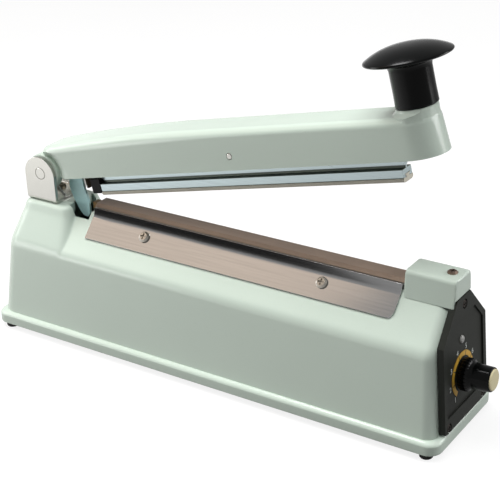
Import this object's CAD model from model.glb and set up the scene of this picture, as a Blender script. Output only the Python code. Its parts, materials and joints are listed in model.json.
"""A tabletop impulse heat sealer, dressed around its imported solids."""
import json
import math

import bmesh
import bpy
import numpy as np
from mathutils import Matrix, Vector

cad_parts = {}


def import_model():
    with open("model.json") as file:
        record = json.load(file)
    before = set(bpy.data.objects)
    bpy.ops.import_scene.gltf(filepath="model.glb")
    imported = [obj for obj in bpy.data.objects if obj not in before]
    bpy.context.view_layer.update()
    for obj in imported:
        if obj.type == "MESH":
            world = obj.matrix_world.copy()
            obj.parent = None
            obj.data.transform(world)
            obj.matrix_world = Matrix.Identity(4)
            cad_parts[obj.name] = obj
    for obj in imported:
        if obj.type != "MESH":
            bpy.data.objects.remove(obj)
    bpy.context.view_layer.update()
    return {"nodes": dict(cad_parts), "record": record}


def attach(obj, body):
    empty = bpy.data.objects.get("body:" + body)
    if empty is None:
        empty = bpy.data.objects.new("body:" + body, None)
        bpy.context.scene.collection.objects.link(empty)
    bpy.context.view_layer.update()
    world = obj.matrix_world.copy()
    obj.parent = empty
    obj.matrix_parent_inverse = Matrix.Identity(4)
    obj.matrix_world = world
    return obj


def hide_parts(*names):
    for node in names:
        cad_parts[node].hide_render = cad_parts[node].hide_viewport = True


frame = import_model()
nodes = frame["nodes"]

# Lengths are in millimetres, from the middle of the housing, until MM turns them into metres.
MM = 0.001
SHIFT = -7.926              # from the housing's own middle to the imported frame, along x
PIN = (-128.6, 106.2)       # hinge pin, x and height
OPEN = math.radians(13.3)   # the arm's own frame above level, at rest
PANEL_SLOPE = 0.06
PANEL_LEAN = math.atan(PANEL_SLOPE)
PANEL_ORIGIN = (156.3, 0.0, 12.6)


def body_frame():
    return Matrix.Translation((SHIFT * MM, 0, 0))


def arm_frame():
    spot = Matrix.Translation((PIN[0] * MM, 0, PIN[1] * MM))
    return body_frame() @ spot @ Matrix.Rotation(-OPEN, 4, "Y")


def panel_frame():
    spot = Matrix.Translation(Vector(PANEL_ORIGIN) * MM)
    return body_frame() @ spot @ Matrix.Rotation(-PANEL_LEAN, 4, "Y")



def srgb(r, g, b):
    def line(c):
        c /= 255
        return c / 12.92 if c <= 0.04045 else ((c + 0.055) / 1.055) ** 2.4
    return (line(r), line(g), line(b), 1.0)


class Nodes:
    """A short way to build a material's node tree."""

    def __init__(self, name):
        self.mat = bpy.data.materials.new(name)
        self.mat.use_nodes = True
        self.tree = self.mat.node_tree
        self.shader = self.tree.nodes["Principled BSDF"]
        self.coord = self.add("ShaderNodeTexCoord").outputs["Object"]

    def add(self, kind, **values):
        node = self.tree.nodes.new(kind)
        for key, value in values.items():
            setattr(node, key, value)
        return node

    def link(self, a, b):
        self.tree.links.new(a, b)

    def mapped(self, scale):
        node = self.add("ShaderNodeMapping")
        node.inputs["Scale"].default_value = scale
        self.link(self.coord, node.inputs["Vector"])
        return node.outputs["Vector"]

    def noise(self, scale, detail=3.0, rough=0.5, stretch=(1, 1, 1)):
        node = self.add("ShaderNodeTexNoise")
        node.inputs["Scale"].default_value = scale
        node.inputs["Detail"].default_value = detail
        node.inputs["Roughness"].default_value = rough
        self.link(self.mapped(stretch), node.inputs["Vector"])
        return node.outputs["Fac"]

    def ramp(self, factor, stops):
        node = self.add("ShaderNodeValToRGB")
        elements = node.color_ramp.elements
        while len(elements) < len(stops):
            elements.new(0.5)
        for element, (place, colour) in zip(elements, stops):
            element.position = place
            element.color = colour
        self.link(factor, node.inputs["Fac"])
        return node.outputs["Color"]

    def span(self, factor, low, high, start=0.0, end=1.0):
        node = self.add("ShaderNodeMapRange")
        node.inputs["From Min"].default_value = start
        node.inputs["From Max"].default_value = end
        node.inputs["To Min"].default_value = low
        node.inputs["To Max"].default_value = high
        self.link(factor, node.inputs["Value"])
        return node.outputs["Result"]

    def mix(self, factor, a, b):
        node = self.add("ShaderNodeMix", data_type="RGBA")
        for value, key in ((factor, 0), (a, 6), (b, 7)):
            if isinstance(value, (int, float, tuple)):
                node.inputs[key].default_value = value
            else:
                self.link(value, node.inputs[key])
        return node.outputs[2]

    def maths(self, operation, a, b):
        node = self.add("ShaderNodeMath", operation=operation)
        for value, key in ((a, 0), (b, 1)):
            if isinstance(value, (int, float)):
                node.inputs[key].default_value = value
            else:
                self.link(value, node.inputs[key])
        return node.outputs[0]

    def bump(self, height, strength, distance):
        node = self.add("ShaderNodeBump")
        node.inputs["Strength"].default_value = strength
        node.inputs["Distance"].default_value = distance
        self.link(height, node.inputs["Height"])
        if self.shader.inputs["Normal"].is_linked:
            self.link(self.shader.inputs["Normal"].links[0].from_socket, node.inputs["Normal"])
        self.link(node.outputs["Normal"], self.shader.inputs["Normal"])

    def set(self, **values):
        for key, value in values.items():
            socket = self.shader.inputs[key.replace("_", " ")]
            if isinstance(value, (int, float, tuple)):
                socket.default_value = value
            else:
                self.link(value, socket)


def tinted(colour, amount):
    return tuple(min(1.0, c * amount) for c in colour[:3]) + (1.0,)


def enamel():
    n = Nodes("paint_enamel")
    base = srgb(206, 220, 208)
    cloud = n.noise(9, 2)
    fleck = n.noise(420, 2, 0.6)
    tone = n.ramp(cloud, [(0.3, tinted(base, 0.965)), (0.7, tinted(base, 1.02))])
    dust = n.span(fleck, 0.0, 0.35, 0.66, 0.8)
    n.set(Base_Color=n.mix(dust, tone, tinted(base, 0.88)), Metallic=0.0, IOR=1.5)
    n.set(Roughness=n.span(n.noise(60, 3), 0.19, 0.27))
    n.bump(n.noise(700, 2, 0.5), 0.10, 0.0003)
    n.bump(n.noise(75, 2, 0.5), 0.05, 0.0012)
    return n.mat


def brushed(name, colour, rough, stretch, depth=0.12, dark=0.9, light=1.05, swing=0.07):
    n = Nodes(name)
    grain = n.noise(900, 4, 0.7, stretch)
    cloud = n.noise(14, 2)
    tone = n.ramp(grain, [(0.3, tinted(colour, dark)), (0.7, tinted(colour, light))])
    n.set(Base_Color=n.mix(n.span(cloud, 0.0, 0.3), tone, tinted(colour, dark)), Metallic=1.0)
    n.set(Roughness=n.span(grain, rough - swing, rough + swing))
    n.bump(grain, depth, 0.0001)
    return n.mat


def moulded(name, colour, rough, grain_scale=900, depth=0.1, vary=0.06, specular=0.5):
    n = Nodes(name)
    cloud = n.noise(25, 2)
    fine = n.noise(grain_scale, 3, 0.6)
    n.set(Base_Color=n.ramp(cloud, [(0.3, tinted(colour, 1 - vary)),
                                    (0.7, tinted(colour, 1 + vary))]))
    n.set(Roughness=n.span(fine, rough - 0.05, rough + 0.07), Specular_IOR_Level=specular)
    n.bump(fine, depth, 0.00025)
    return n.mat


def coated_cloth():
    n = Nodes("woven_release_cloth")
    base = srgb(140, 119, 102)
    warp = n.add("ShaderNodeTexWave", wave_type="BANDS", bands_direction="X")
    weft = n.add("ShaderNodeTexWave", wave_type="BANDS", bands_direction="Y")
    for wave in (warp, weft):
        wave.inputs["Scale"].default_value = 420
        wave.inputs["Distortion"].default_value = 0.6
        n.link(n.coord, wave.inputs["Vector"])
    weave = n.maths("MULTIPLY", warp.outputs["Fac"], weft.outputs["Fac"])
    cloud = n.noise(30, 3, 0.6, (1, 3, 3))
    tone = n.ramp(cloud, [(0.3, tinted(base, 0.82)), (0.7, tinted(base, 1.08))])
    n.set(Base_Color=n.mix(n.span(weave, 0.0, 0.25), tone, tinted(base, 0.7)), Metallic=0.0)
    n.set(Roughness=n.span(weave, 0.36, 0.5), Sheen_Weight=0.1)
    n.bump(weave, 0.25, 0.00012)
    return n.mat


def number_ink():
    n = Nodes("number_ink")
    n.set(Base_Color=n.ramp(n.noise(300, 2), [(0.3, srgb(196, 202, 198)), (0.7, srgb(222, 226, 220))]))
    n.set(Roughness=n.span(n.noise(500, 2), 0.45, 0.6))
    return n.mat


def printed_dial():
    n = Nodes("dial_ring_print")
    base = srgb(216, 170, 62)
    n.set(Base_Color=n.ramp(n.noise(160, 3), [(0.3, tinted(base, 0.85)), (0.7, tinted(base, 1.08))]))
    n.set(Roughness=n.span(n.noise(500, 2), 0.4, 0.55), Metallic=0.25)
    n.bump(n.noise(900, 2), 0.08, 0.0001)
    return n.mat


def glass(name, colour, rough, clear):
    n = Nodes(name)
    n.set(Base_Color=n.ramp(n.noise(200, 2), [(0.3, tinted(colour, 0.9)), (0.7, colour)]))
    n.set(Transmission_Weight=clear, IOR=1.48, Roughness=n.span(n.noise(600, 2), rough, rough + 0.08))
    return n.mat


LENGTHWISE = (0.02, 1, 1)
EVEN = (1, 1, 1)
UPRIGHT = (1, 1, 0.3)
looks = {
    "paint": enamel(),
    "stainless": brushed("brushed_stainless", srgb(190, 190, 190), 0.13, LENGTHWISE, 0.03, swing=0.03),
    "nickel_plate": brushed("satin_nickel", srgb(196, 195, 189), 0.27, UPRIGHT, 0.004, 0.98, 1.01, 0.01),
    "bar_aluminium": brushed("anodised_bar", srgb(184, 198, 200), 0.30, LENGTHWISE, 0.08),
    "bar_channel": brushed("dark_anodised_channel", srgb(112, 120, 112), 0.5, LENGTHWISE, 0.08),
    "bed_aluminium": brushed("plain_aluminium", srgb(170, 170, 166), 0.42, LENGTHWISE),
    "silicone": moulded("matt_silicone", srgb(228, 222, 206), 0.62, 700, 0.15),
    "release_cloth": coated_cloth(),
    "ribbon": brushed("resistance_ribbon", srgb(160, 150, 140), 0.35, LENGTHWISE),
    "terminal_brass": brushed("dull_brass", srgb(118, 96, 66), 0.45, (1, 1, 0.2)),
    "dark_steel": brushed("oiled_dark_sheet", srgb(66, 58, 46), 0.45, UPRIGHT, 0.1, 0.8),
    "tongue_plastic": moulded("pale_blue_moulding", srgb(206, 250, 252), 0.25, 500, 0.04),
    "block_plastic": moulded("end_block_black", srgb(6, 6, 7), 0.55, 600, 0.1, 0.1, 0.2),
    "gloss_black": moulded("polished_black", srgb(3, 4, 4), 0.18, 400, 0.02, 0.1, 0.17),
    "panel_plastic": moulded("dark_panel", srgb(40, 42, 38), 0.5, 1100, 0.35, 0.06, 0.15),
    "dial_print": printed_dial(),
    "number_print": number_ink(),
    "knob_cream": moulded("cream_moulding", srgb(226, 215, 174), 0.42, 700, 0.1),
    "lens": glass("lamp_glass", srgb(176, 176, 172), 0.3, 0.15),
    "bulb_glass": glass("bulb_glass", srgb(214, 160, 120), 0.1, 0.55),
    "black_rubber": moulded("black_rubber", srgb(26, 26, 25), 0.78, 800, 0.3),
    "bright_screw": brushed("bright_screw", srgb(190, 184, 174), 0.3, EVEN, 0.1),
    "panel_screws": brushed("blackened_screw", srgb(58, 52, 48), 0.45, EVEN, 0.15),
    "bracket_screws": brushed("shaded_screw", srgb(104, 98, 84), 0.4, EVEN, 0.1),
    "dark_screw": brushed("dark_screw", srgb(150, 130, 116), 0.45, EVEN, 0.2, 0.7),
    "sheet_steel": brushed("zinc_sheet", srgb(176, 178, 174), 0.45, EVEN, 0.1),
    "winding": moulded("taped_winding", srgb(138, 80, 42), 0.5, 300, 0.3, 0.12),
    "inner_plastic": moulded("inner_plastic", srgb(48, 50, 52), 0.45, 600, 0.1),
    "button_plastic": moulded("button_plastic", srgb(176, 44, 32), 0.4, 600, 0.1),
    "board": moulded("circuit_board_green", srgb(52, 92, 56), 0.5, 500, 0.2),
}



def shade(obj, angle):
    """Smooth shading that stays sharp at edges steeper than the angle in degrees."""
    mesh = obj.data
    mesh.polygons.foreach_set("use_smooth", [True] * len(mesh.polygons))
    mesh.set_sharp_from_angle(angle=math.radians(angle))
    weighted = obj.modifiers.new("even_normals", "WEIGHTED_NORMAL")
    weighted.keep_sharp = True
    weighted.weight = 60


def dress(obj, look):
    obj.data.materials.clear()
    obj.data.materials.append(looks[look])


def place(obj, body, slot, *replaced):
    """Gives the piece the slot's look, its body, and the CAD nodes that it stands for."""
    dress(obj, slot)
    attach(obj, body)
    if replaced:
        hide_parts(*replaced)
    return obj


def refined(node, slot, body, bevel):
    """The node's own form with softened edges, at its sharp ones only."""
    mesh = nodes[node].data.copy()
    mesh.name = node + "_finished"
    obj = bpy.data.objects.new(node + "_finished", mesh)
    bpy.context.scene.collection.objects.link(obj)
    bm = bmesh.new()
    bm.from_mesh(mesh)
    bmesh.ops.remove_doubles(bm, verts=bm.verts, dist=1e-6)
    bmesh.ops.dissolve_limit(bm, angle_limit=math.radians(FLAT_ANGLE), verts=bm.verts, edges=bm.edges)
    for edge in bm.edges:
        edge.smooth = True
    bm.to_mesh(mesh)
    bm.free()
    soft = obj.modifiers.new("soft_edges", "BEVEL")
    soft.width = bevel * MM
    soft.segments = 2
    soft.limit_method = "ANGLE"
    soft.angle_limit = math.radians(BEVEL_ANGLE)
    soft.harden_normals = False
    apply_modifiers(obj)
    shade(obj, 34)
    return place(obj, body, slot, node)


FLAT_ANGLE = 1.0     # faces nearer to flat than this are joined before the bevel
BEVEL_ANGLE = 35     # edges sharper than this are bevelled
slot_of = {row["node"]: row["material_slot"] for row in frame["record"]["subparts"]}


def new_object(name, verts, faces):
    mesh = bpy.data.meshes.new(name)
    mesh.from_pydata([tuple(v) for v in verts], [], faces)
    mesh.validate()
    obj = bpy.data.objects.new(name, mesh)
    bpy.context.scene.collection.objects.link(obj)
    outward(obj)
    return obj


def outward(obj):
    bm = bmesh.new()
    bm.from_mesh(obj.data)
    bmesh.ops.remove_doubles(bm, verts=bm.verts, dist=1e-7)
    bmesh.ops.recalc_face_normals(bm, faces=bm.faces)
    bm.to_mesh(obj.data)
    bm.free()


def rings_to_object(name, rings, matrix):
    """A closed skin through rings of points in millimetres."""
    count = len(rings[0])
    verts = [matrix @ (Vector(p) * MM) for ring in rings for p in ring]
    faces = []
    for k in range(len(rings) - 1):
        for i in range(count):
            j = (i + 1) % count
            a, b = k * count, (k + 1) * count
            faces.append((a + i, a + j, b + j, b + i))
    faces.append(tuple(range(count - 1, -1, -1)))
    last = (len(rings) - 1) * count
    faces.append(tuple(range(last, last + count)))
    return new_object(name, verts, faces)


def arc(a, b, radius, start, end, steps):
    angles = [math.radians(start + (end - start) * i / steps) for i in range(steps + 1)]
    return [(a + radius * math.cos(t), b + radius * math.sin(t)) for t in angles]


def turned(name, profile, axis, centre, matrix, sides):
    """A form turned about "x" or "z"; profile points are (radius, height) along it, from end to end."""
    x, y, z = centre
    rings = []
    for radius, height in profile:
        ring = []
        for i in range(sides):
            t = 2 * math.pi * i / sides
            c, s = radius * math.cos(t), radius * math.sin(t)
            if axis == "x":
                ring.append((x + height, y + c, z + s))
            else:
                ring.append((x + c, y + s, z + height))
        rings.append(ring)
    return rings_to_object(name, rings, matrix)


def flat_prism(name, outline, axis, low, high, matrix):
    """A prism of an outline, in the plane across "x" or "z"."""
    def lay(a, b, c):
        return (c, a, b) if axis == "x" else (a, b, c)
    rings = [[lay(a, b, c) for a, b in outline] for c in (low, high)]
    return rings_to_object(name, rings, matrix)


def apply_modifiers(obj):
    """Makes the object's modifiers real in its mesh."""
    bpy.context.view_layer.update()
    evaluated = obj.evaluated_get(bpy.context.evaluated_depsgraph_get())
    mesh = bpy.data.meshes.new_from_object(evaluated)
    obj.modifiers.clear()
    obj.data = mesh


def carve(obj, cutters):
    """Cuts the cutters away from the object and removes them."""
    for cutter in cutters:
        step = obj.modifiers.new("carve", "BOOLEAN")
        step.operation = "DIFFERENCE"
        step.solver = "EXACT"
        step.object = cutter
        apply_modifiers(obj)
        bpy.data.objects.remove(cutter)


BODY = body_frame()
ARM = arm_frame()
PANEL = panel_frame()
HANDLE_X = 266.4    # from the pin, in the arm's own frame


def handle():
    """The mushroom handle; crown is its height above the rim of radius reach."""
    foot, rim, crown = 21.2, 46.7, 6.62
    stem, reach = 11.5, 23.8
    shoulder, edge, roundness, steps = reach - 0.5, 0.95, 2.5, 14
    profile = [
        (0.01, foot), (stem - 0.6, foot), (stem, foot + 0.6), (stem - 0.15, foot + 8),
        (stem - 0.1, rim - 6), (stem + 0.3, rim - 4.2), (stem + 1.4, rim - 2.9),
        (stem + 3.6, rim - 2.0), (reach - 4, rim - 1.25), (reach - 1.2, rim - 0.85),
        (reach - 0.35, rim - 0.5), (reach, rim), (reach - 0.12, rim + 0.5), (shoulder, rim + edge),
    ]
    for i in range(1, steps):
        r = shoulder - shoulder * (i / steps)
        profile.append((r, rim + edge + (crown - edge) * (1 - (r / shoulder) ** roundness)))
    profile.append((0.01, rim + crown))
    obj = turned("mushroom_handle", profile, "z", (HANDLE_X, 0, 0), ARM, 72)
    shade(obj, 40)
    place(obj, "lever", "gloss_black", "handle")



FACE = 3.2            # the recessed face that carries the dial, out from the panel's frame
DIAL = (-2.5, 27.0)   # the dial's middle, across and up the panel
HALF_TURN = 143       # the knob's turn either way from straight up
BAND_THICKNESS = 0.3
LAMP_UP = 47.8
NUMBER_SIZE = 4.5
NUMBER_RELIEF = 0.04


def ring_piece(name, inner, outer, start, end, low, high, steps):
    outline = arc(DIAL[0], DIAL[1], outer, start, end, steps)
    outline += arc(DIAL[0], DIAL[1], inner, end, start, steps)
    return flat_prism(name, outline, "x", low, high, PANEL)


def dial():
    """The printed ring with its eight marks and numbers."""
    start, end, spacing = 90 - HALF_TURN, 90 + HALF_TURN, 40.86
    top = FACE + BAND_THICKNESS
    band = ring_piece("dial_band_print", 10.3, 13.1, start, end, FACE, top, 72)
    shade(band, 40)
    place(band, "base", "dial_print", "dial_band")
    half_mark, number_radius = 1.1, 15.3
    for i in range(8):
        centre = end - spacing * i
        tick = ring_piece(f"dial_tick_{i + 1}", 10.4, 13.0, centre - half_mark, centre + half_mark,
                          top, top + 0.06, 2)
        print_on_panel(tick, "inner_plastic")
        turn = math.radians(centre)
        number(str(i + 1), Vector((FACE + 0.02, DIAL[0] + number_radius * math.cos(turn),
                                   DIAL[1] + number_radius * math.sin(turn))))


def print_on_panel(obj, look):
    dress(obj, look)
    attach(obj, "base")


def number(text, spot):
    curve = bpy.data.curves.new("dial_number_" + text, "FONT")
    curve.body = text
    curve.size = NUMBER_SIZE * MM
    curve.extrude = NUMBER_RELIEF * MM
    curve.align_x = "CENTER"
    curve.align_y = "CENTER"
    flat = bpy.data.objects.new("dial_number_" + text, curve)
    bpy.context.scene.collection.objects.link(flat)
    bpy.context.view_layer.update()
    mesh = bpy.data.meshes.new_from_object(flat.evaluated_get(bpy.context.evaluated_depsgraph_get()))
    bpy.data.objects.remove(flat)
    stand = Matrix(((0, 0, 1, 0), (1, 0, 0, 0), (0, 1, 0, 0), (0, 0, 0, 1)))
    mesh.transform(PANEL @ Matrix.Translation(spot * MM) @ stand)
    obj = bpy.data.objects.new("dial_number_" + text, mesh)
    bpy.context.scene.collection.objects.link(obj)
    print_on_panel(obj, "number_print")


def knob():
    """The fluted knob, bored for the shaft, and its cap; depth is the flutes' depth at each ring."""
    foot = FACE + BAND_THICKNESS + 0.6
    end = foot + 17.4
    flutes = 26
    around = flutes * 6
    rings = []
    for radius, height, depth in [
            (8.9, foot, 0.5), (9.35, foot + 0.35, 0.55), (9.4, foot + 3.9, 0.55), (9.15, foot + 4.6, 0.45),
            (8.6, foot + 5.0, 0.15), (7.9, foot + 5.5, 0), (7.5, foot + 6.4, 0), (7.35, foot + 7.5, 0),
            (7.0, end - 0.8, 0), (6.85, end - 0.3, 0), (6.5, end - 0.02, 0), (6.3, end, 0)]:
        ring = []
        for i in range(around):
            t = 2 * math.pi * i / around
            r = radius - depth * max(0.0, math.cos(flutes * t)) ** 2
            ring.append((height, DIAL[0] + r * math.cos(t), DIAL[1] + r * math.sin(t)))
        rings.append(ring)
    body = rings_to_object("timer_knob_body", rings, PANEL)
    seat = end - 1.2
    centre = (0, DIAL[0], DIAL[1])
    carve(body, [
        turned("bore_low", [(7.0, foot - 1), (7.0, foot + 3.2)], "x", centre, PANEL, 32),
        turned("bore_shaft", [(3.15, foot), (3.15, end - 3.5)], "x", centre, PANEL, 32),
        turned("bore_cap", [(6.3, seat), (6.3, end + 1)], "x", centre, PANEL, 48)])
    shade(body, 38)
    place(body, "timer", "gloss_black", "timer_knob")
    cap = turned("knob_end_cap", [
        (0.01, seat), (6.15, seat), (6.15, end + 0.25), (6.0, end + 0.6), (5.6, end + 0.82),
        (5.0, end + 0.9), (0.01, end + 0.9)], "x", centre, PANEL, 56)
    shade(cap, 34)
    place(cap, "timer", "knob_cream", "knob_cap")


def lamp():
    centre = (0, DIAL[0], LAMP_UP)
    dome = [(2.3 * math.cos(t), FACE + 0.2 + 1.1 * math.sin(t)) for t in
            [math.radians(9 * i) for i in range(10)]]
    lens = turned("lamp_dome", [(0.01, -1.2), (3.5, -1.2), (3.5, -0.2), (2.3, -0.2)] + dome
                  + [(0.01, FACE + 1.3)], "x", centre, PANEL, 40)
    shade(lens, 34)
    place(lens, "base", "lens", "lamp_lens")


handle()
dial()
knob()
lamp()


# Heights, and the half widths that go with them.
SHOULDER, RIDGE, RIM_TOP, TOWER_TOP = 61.1, 84.2, 12.0, 87.0
SHOULDER_HALF, RIDGE_HALF, FOOT_HALF = 29.6, 7.5, 34.5
TOWER_HALF, TOWER_EDGE = 17.3, 83.0
REAR = -157.0              # the rear wall at the rim
REAR_WALL_LEAN = 0.11
REAR_ROOF_LEAN = 0.31
TOWER_FOOT = (-100.5, 52)  # the tower lies behind this x and above this height
TOWER_CORE = (-135, 0, 30) # the tower's points are pushed out from here, or from nearer the front


def between(t, a, b):
    return a + (b - a) * t


def rear_end(z):
    if z < SHOULDER:
        return REAR + REAR_WALL_LEAN * (z - RIM_TOP)
    return REAR + REAR_WALL_LEAN * (SHOULDER - RIM_TOP) + REAR_ROOF_LEAN * (z - SHOULDER)


def front_end(z):
    return PANEL_ORIGIN[0] - PANEL_SLOPE * (z - PANEL_ORIGIN[2])


def eased(low_half, low, corner, high_half, high, steps):
    """Points of the soft turn at the shoulder, as (half width, height)."""
    points = []
    for i in range(steps + 1):
        t = i / steps
        a, b, c = (1 - t) ** 2, 2 * t * (1 - t), t * t
        points.append((a * low_half + b * corner[0] + c * high_half, a * low + b * corner[1] + c * high))
    return points


def wall_half(z):
    return between((z - RIM_TOP) / (SHOULDER - RIM_TOP), FOOT_HALF, SHOULDER_HALF)


def body_levels():
    """Half width and height of the rings up the walls, round the shoulder and up the roofs."""
    run = (SHOULDER_HALF - RIDGE_HALF) / (RIDGE - SHOULDER)
    rise = 2.9
    low, high = SHOULDER - 4, SHOULDER + rise
    levels = [(wall_half(z), z) for z in (RIM_TOP, 13, 20, 30, 40, 50)]
    levels += eased(wall_half(low), low, (SHOULDER_HALF, SHOULDER), SHOULDER_HALF - run * rise, high, 8)
    levels += [(SHOULDER_HALF - run * (z - SHOULDER), z) for z in np.linspace(high + 0.7, RIDGE, 30)]
    return levels


def tower_half(z):
    slope = (SHOULDER_HALF - TOWER_HALF) / (TOWER_EDGE - SHOULDER)
    z = min(z, TOWER_EDGE)
    plain = wall_half(z) if z < SHOULDER else SHOULDER_HALF - slope * (z - SHOULDER)
    near_shoulder = max(0.0, 1 - abs(z - SHOULDER) / 4)
    return plain - 0.45 * near_shoulder ** 2


def tower_distance(x, y, z):
    """How far a point lies outside the hinge tower; negative inside."""
    level = min(z, TOWER_EDGE)
    share = (level - SHOULDER) / (TOWER_EDGE - SHOULDER)
    rear, front = rear_end(level), between(share, -102, -106.8)
    half = tower_half(z)
    middle = (rear + front) / 2
    radius = between(share, 9.5, 5.5) if x < middle else 5.5
    dx = abs(x - middle) - (front - rear) / 2 + radius
    dy = abs(y) - half + radius
    plan = math.hypot(max(dx, 0), max(dy, 0)) + min(max(dx, dy), 0) - radius
    top = z - TOWER_TOP
    edge = 3.0
    a, b = plan + edge, top + edge
    return math.hypot(max(a, 0), max(b, 0)) + min(max(a, b), 0) - edge


def plan_ring(rear, front, half, radii, stations):
    """One ring round the housing: near side, front end, far side, rear end."""
    front_r, rear_r = (min(r, half - 0.02) for r in radii)
    a, b = rear + rear_r, front - front_r
    first, last = stations[0], stations[-1]
    xs = [between(i / 4, a, first) for i in range(4)] + stations
    xs += [between(i / 3, last, b) for i in range(1, 4)]
    near = [(x, -half) for x in xs]
    ring = near[:-1]
    ring += arc(b, -half + front_r, front_r, -90, 0, 9)
    ring += [(front, between(i / 6, -half + front_r, half - front_r)) for i in range(1, 6)]
    ring += arc(b, half - front_r, front_r, 0, 90, 9)
    ring += [(x, half) for x in reversed(xs[1:-1])]
    ring += arc(a, half - rear_r, rear_r, 90, 180, 9)
    ring += [(rear, between(i / 6, half - rear_r, -half + rear_r)) for i in range(1, 6)]
    ring += arc(a, -half + rear_r, rear_r, 180, 270, 9)[:-1]
    return ring


def outward_ray(point):
    return (Vector(point) - Vector((max(point[0], TOWER_CORE[0]), *TOWER_CORE[1:]))).normalized()


def pushed_out(point):
    """How far a point of the plain roof has to go to reach the tower's face."""
    x, y, z = point
    if x > TOWER_FOOT[0] or z < TOWER_FOOT[1] or tower_distance(x, y, z) >= 0:
        return 0.0
    ray = outward_ray(point)
    low, high = 0.0, 30.0
    for _ in range(26):
        middle = (low + high) / 2
        if tower_distance(*(Vector(point) + ray * middle)) < 0:
            low = middle
        else:
            high = middle
    return low


def blurred(grid, passes):
    """Softens the foot of the tower over its neighbours in the grid."""
    for _ in range(passes):
        around = np.roll(grid, 1, 1) + np.roll(grid, -1, 1)
        above = np.vstack([grid[1:], grid[-1:]]) + np.vstack([grid[:1], grid[:-1]])
        grid = grid * 0.4 + around * 0.15 + above * 0.15
    return grid


def slot_cutter(ends, half, heights):
    outline = [(ends[0], -half), (ends[1], -half), (ends[1], half), (ends[0], half)]
    return flat_prism("slot_cutter", outline, "z", *heights, BODY)


def housing():
    """The painted shell: rim, walls, roofs and tower, hollow, with its slot and holes."""
    corners = (7, 9.5)
    stations = [-128, -124, -121, -118, -116] + list(np.arange(-114.5, -97.9, 0.5))
    stations += [-96, -92, -86, -78, -68, -50, -30, 0, 30, 60, 90, 110, 125, 138]
    stations = [float(x) for x in stations]
    levels = body_levels()
    grid = []
    for half, z in levels:
        ring = plan_ring(rear_end(z), front_end(z), half, corners, stations)
        grid.append([(x, y, z) for x, y in ring])
    for half in (5, 2.5, 0.02):
        inset = RIDGE_HALF - half
        top = plan_ring(rear_end(RIDGE) + inset, front_end(RIDGE) - inset, half, corners, stations)
        grid.append([(x, y, RIDGE) for x, y in top])
    push = blurred(np.array([[pushed_out(p) for p in ring] for ring in grid]), 5)
    rings = []
    for ring, row in zip(grid, push):
        rings.append([tuple(Vector(point) + outward_ray(point) * float(step)) if step > 1e-4 else point
                      for point, step in zip(ring, row)])
    rim_end, rim_half, rim_corner = 160, 37.5, 8
    rim = []
    for z, inset in ((4.0, 0.5), (4.3, 0.12), (4.8, 0), (9.4, 0), (10.0, 0.1), (10.6, 0.45), (11.2, 1.0),
                     (11.7, 1.8), (12.0, 2.55)):
        radius = rim_corner - inset / 2
        rim.append([(x, y, z) for x, y in plan_ring(
            -rim_end + inset, rim_end - inset, rim_half - inset, (radius, radius), stations)])
    obj = rings_to_object("housing_shell", rim + rings, BODY)
    hollow_levels = [(3, 34.5, -157, 157), (6, 34.5, -157, 157), (12, 31.5, -154, 153.3),
                     (57.1, 26.9, -149, 150.6), (61.1, 25.4, -148.3, 150.4), (80.6, 6.8, -142.4, 149.2)]
    hollow = [[(x, y, z) for x, y in plan_ring(rear, front, half, (5, 5), [-100.0, 0.0, 100.0])]
              for z, half, rear, front in hollow_levels]
    tower_hollow = []
    for z, half in ((56, 26.4), (62, 24.5), (80, 14.6), (84, 13.0)):
        rear, front = rear_end(min(z, 80)) + 3.6, between((z - 61) / 22, -105.6, -110.4)
        tower_hollow.append([(x, y, z) for x, y in plan_ring(rear, front, half, (3, 4), [-125.0, -118.0])])
    opening = [(-20, 19), (20, 19), (20, 56), (8, 68), (-8, 68), (-20, 56)]
    gland_up = 22
    gland = (BODY @ Matrix.Translation(Vector((rear_end(gland_up), 0, gland_up)) * MM)
             @ Matrix.Rotation(math.pi + math.atan(REAR_WALL_LEAN), 4, "Y"))
    carve(obj, [
        rings_to_object("hollow", hollow, BODY),
        rings_to_object("tower_hollow", tower_hollow, BODY),
        slot_cutter((-110, -95), 11.2, (67.1, 88)),
        slot_cutter((-116.4, -109), 6, (61.1, 88)),
        flat_prism("end_opening", opening, "x", 148, 165, BODY),
        turned("gland_hole", [(5.95, -6), (5.95, 3)], "x", (0, 0, 0), gland, 40),
    ])
    shade(obj, 33)
    place(obj, "base", "paint", "housing")


housing()


def pressure_bar():
    """The bar's own form, with a darker look for the channel above its foot, which lies in shade."""
    obj = refined("pressure_bar", "bar_aluminium", "bar", 0.25)
    obj.data.materials.append(looks["bar_channel"])
    to_arm = ARM.inverted()
    for face in obj.data.polygons:
        if CHANNEL[0] < (to_arm @ face.center / MM).z < CHANNEL[1]:
            face.material_index = 1


def curved(points, steps=8):
    """A smooth line through the points."""
    line = []
    padded = [points[0]] + points + [points[-1]]
    for a, b, c, d in zip(padded, padded[1:], padded[2:], padded[3:]):
        for i in range(steps):
            t = i / steps
            line.append(0.5 * (2 * b + (c - a) * t + (2 * a - 5 * b + 4 * c - d) * t ** 2
                               + (3 * b - a - 3 * c + d) * t ** 3))
    return line + [points[-1]]


def wire(name, line, radius, matrix, sides=12):
    """A round wire along a line of points in millimetres."""
    rings = []
    side = Vector((0, 1, 0))
    for i, point in enumerate(line):
        ahead = (line[min(i + 1, len(line) - 1)] - line[max(i - 1, 0)]).normalized()
        side = (side - ahead * side.dot(ahead)).normalized()
        up = ahead.cross(side)
        angles = [2 * math.pi * k / sides for k in range(sides)]
        rings.append([tuple(point + side * (radius * math.cos(t)) + up * (radius * math.sin(t)))
                      for t in angles])
    return rings_to_object(name, rings, matrix)


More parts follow.
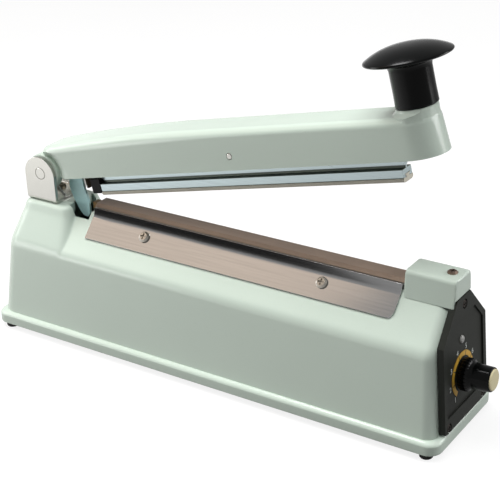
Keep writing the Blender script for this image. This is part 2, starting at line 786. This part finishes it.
def return_spring():
    """The torsion spring: its coil and lower leg stay on the bracket, its upper leg goes with the arm."""
    coil, thick, turns, pitch, steps = 5.4, 0.75, 5, 2.1, 24
    end = turns * pitch / 2
    hinge = BODY @ Matrix.Translation(Vector((PIN[0], 0, PIN[1])) * MM)
    lower = [Vector((11, -end, SPRING_FLOOR)), Vector((9.5, -end, SPRING_FLOOR + 0.2)),
             Vector((6, -end, SPRING_FLOOR + 4)), Vector((0, -end, -coil))]
    line = curved(lower)[:-1]
    for i in range(turns * steps + 1):
        angle = 2 * math.pi * i / steps
        across = pitch * (i / steps - turns / 2)
        line.append(Vector((coil * math.sin(angle), across, -coil * math.cos(angle))))
    fixed = wire("return_spring_coil", line, thick, hinge)
    shade(fixed, 50)
    place(fixed, "base", "sheet_steel", "return_spring")
    beside = end + 2 * thick + SPRING_GAP
    root = Matrix.Rotation(OPEN, 3, "Y") @ Vector((-0.6, beside, -coil))
    upper = [root, Vector((7, beside, -3)), Vector((13.2, end, 2.5)), Vector((19, end, 8.5)),
             Vector((22.5, end, 12.7))]
    leg = wire("return_spring_leg", curved(upper), thick, ARM)
    shade(leg, 50)
    place(leg, "lever", "sheet_steel")


SPRING_FLOOR = -15.85       # the lower leg's middle on the bracket's floor, below the pin
SPRING_GAP = 0.05           # between the coil's last turn and the leg beside it
CHANNEL = (-12.3, -11.3)    # heights in the arm's own frame
return_spring()
pressure_bar()

# Every other node keeps its own form: with softened edges where it is in SOFT, and with its slot's
# look unless OWN_LOOK names another.
DONE = {"housing", "handle", "dial_band", "timer_knob", "knob_cap", "lamp_lens", "pressure_bar",
        "return_spring"}
SOFT = {
    "lever_arm": 0.4, "front_cap": 0.3, "hinge_bracket": 0.35, "end_panel": 0.3,
    "silicone_strip": 0.3, "bar_end_block": 0.3, "cover_plate_near": 0.12,
    "cover_plate_far": 0.12, "seal_bed": 0.2, "seal_cloth": 0.06, "switch_tongue": 0.45, "tongue_holder": 0.2,
    "hinge_pin": 0.2, "bar_pivot_pin": 0.15, "bar_hanger": 0.2, "rubber_foot_1": 0.3,
    "rubber_foot_2": 0.3, "rubber_foot_3": 0.3, "rubber_foot_4": 0.3,
}
OWN_LOOK = {
    "bracket_screw_1": "bracket_screws", "bracket_screw_2": "bracket_screws", "panel_screw_1": "panel_screws",
    "panel_screw_2": "panel_screws", "panel_screw_3": "panel_screws", "bar_end_block": "block_plastic",
}
for body, members in frame["record"]["behaviour"]["bodies"].items():
    for node in members:
        if node in DONE:
            continue
        slot = slot_of[node]
        if node in SOFT:
            obj = refined(node, slot, body, SOFT[node])
        else:
            obj = nodes[node]
        dress(obj, OWN_LOOK.get(node, slot))


def grey(level):
    return (level, level, level, 1)


def floor():
    """Pale paper: white to the camera, and dimmer to the right in metal and glass."""
    half = 9
    corners = [(-half, -half, 0), (half, -half, 0), (half, half, 0), (-half, half, 0)]
    obj = new_object("studio_floor", corners, [(0, 1, 2, 3)])
    n = Nodes("studio_floor_paper")
    n.set(Base_Color=n.ramp(n.noise(3, 2), [(0.3, grey(0.17)), (0.7, grey(0.19))]))
    n.set(Roughness=n.span(n.noise(40, 2), 0.75, 0.85))
    rays = n.add("ShaderNodeLightPath")
    split = n.add("ShaderNodeSeparateXYZ")
    n.link(n.coord, split.inputs["Vector"])
    falloff = n.span(split.outputs["X"], 0.9, 0.3, -0.35, 0.12)
    mirrored = n.maths("MAXIMUM", rays.outputs["Is Glossy Ray"], rays.outputs["Is Transmission Ray"])
    seen = n.maths("MULTIPLY", rays.outputs["Is Camera Ray"], 0.84)
    n.set(Emission_Color=(1, 1, 1, 1), Emission_Strength=n.maths(
        "MAXIMUM", seen, n.maths("MULTIPLY", mirrored, falloff)))
    obj.data.materials.append(n.mat)


def world():
    """Dim air that lights the part, and a pale grey backdrop for camera, metal and glass."""
    studio = bpy.data.worlds.new("studio_air")
    bpy.context.scene.world = studio
    studio.use_nodes = True
    tree = studio.node_tree
    back = tree.nodes["Background"]
    coord = tree.nodes.new("ShaderNodeTexCoord")
    split = tree.nodes.new("ShaderNodeSeparateXYZ")
    ramp = tree.nodes.new("ShaderNodeValToRGB")
    tree.links.new(coord.outputs["Generated"], split.inputs["Vector"])
    tree.links.new(split.outputs["Z"], ramp.inputs["Fac"])
    elements = ramp.color_ramp.elements
    elements[0].position = 0.34
    elements[0].color = (0.03, 0.03, 0.032, 1)
    elements[1].position = 0.62
    elements[1].color = grey(0.10)
    elements.new(0.9).color = grey(0.14)
    rays = tree.nodes.new("ShaderNodeLightPath")
    seen = rays.outputs["Is Camera Ray"]
    for kind in ("Is Glossy Ray", "Is Transmission Ray"):
        either = tree.nodes.new("ShaderNodeMath")
        either.operation = "MAXIMUM"
        tree.links.new(seen, either.inputs[0])
        tree.links.new(rays.outputs[kind], either.inputs[1])
        seen = either.outputs[0]
    mix = tree.nodes.new("ShaderNodeMix")
    mix.data_type = "RGBA"
    mix.inputs[7].default_value = grey(0.5)
    tree.links.new(seen, mix.inputs[0])
    tree.links.new(ramp.outputs["Color"], mix.inputs[6])
    tree.links.new(mix.outputs[2], back.inputs["Color"])
    back.inputs["Strength"].default_value = 0.85


def flag(name, start, end, height):
    """A dark upright card out of the picture, which gives the metal its dark reflection."""
    corners = [(*start, 0), (*end, 0), (*end, height), (*start, height)]
    obj = new_object(name, corners, [(0, 1, 2, 3)])
    n = Nodes(name + "_felt")
    n.set(Base_Color=n.ramp(n.noise(30, 2), [(0.3, grey(0.012)), (0.7, grey(0.016))]))
    n.set(Roughness=n.span(n.noise(200, 2), 0.85, 0.95), Specular_IOR_Level=0.1)
    obj.data.materials.append(n.mat)
    obj.visible_camera = False


def softbox(name, spot, target, size, power, colour=(1, 1, 1), mirrored=True):
    """A soft lamp; one that isn't mirrored lights the part but doesn't show in it."""
    light = bpy.data.lights.new(name, "AREA")
    light.shape = "RECTANGLE"
    light.size, light.size_y = size
    light.energy = power
    light.color = colour
    obj = bpy.data.objects.new(name, light)
    bpy.context.scene.collection.objects.link(obj)
    obj.location = spot
    look = Vector(target) - Vector(spot)
    obj.rotation_euler = look.to_track_quat("-Z", "Y").to_euler()
    obj.visible_glossy = mirrored


def camera():
    """The camera fitted to the photograph; across and up shift it in its own plane, from the origin."""
    azimuth, elevation, roll = 34.235, 25.062, -2.056
    distance, across, up = 813.08, 15.598, 68.856
    sensor_mm, focal_pixels, photo_pixels = 36, 1306.6, 500
    a, e, roll = (math.radians(v) for v in (azimuth, elevation, roll))
    ahead = Vector((-math.sin(a) * math.cos(e), math.cos(a) * math.cos(e), -math.sin(e)))
    right = Vector((math.cos(a), math.sin(a), 0))
    upward = right.cross(ahead)
    tilted_right = right * math.cos(roll) + upward * math.sin(roll)
    tilted_up = upward * math.cos(roll) - right * math.sin(roll)
    spot = -distance * ahead + across * right + up * upward + Vector((SHIFT, 0, 0))
    data = bpy.data.cameras.new("photo_view")
    data.sensor_width = sensor_mm
    data.lens = focal_pixels / photo_pixels * sensor_mm
    data.clip_start = 0.05
    data.clip_end = 50
    obj = bpy.data.objects.new("photo_view", data)
    bpy.context.scene.collection.objects.link(obj)
    turn = Matrix((tilted_right, tilted_up, -ahead)).transposed().to_4x4()
    obj.matrix_world = Matrix.Translation(spot * MM) @ turn
    bpy.context.scene.camera = obj


floor()
world()
flag("low_flag", (-1.7, -1.2), (-0.55, -1.2), 0.78)
MIDDLE = (0, 0, 0.08)    # where the overhead lamps point
softbox("key_overhead", (0.05, -0.32, 1.2), MIDDLE, (0.9, 0.9), 11.5, mirrored=False)
softbox("second_overhead", (-0.34, -0.02, 1.15), MIDDLE, (0.36, 0.36), 6)
softbox("wide_panel", (-0.975, -0.505, 1.10), MIDDLE, (0.9, 0.7), 1.3, (1, 0.74, 0.52))
softbox("near_left_fill", (-0.62, -0.22, 0.30), (-0.05, 0, 0.08), (0.3, 0.25), 1.0)
softbox("low_left_fill", (-0.50, -0.42, 0.08), (-0.05, 0, 0.11), (0.35, 0.12), 0.6)
softbox("right_fill", (0.9, 0.6, 0.45), (0.1, 0, 0.08), (0.6, 0.5), 6)
camera()
bpy.context.scene.view_settings.view_transform = "Standard"
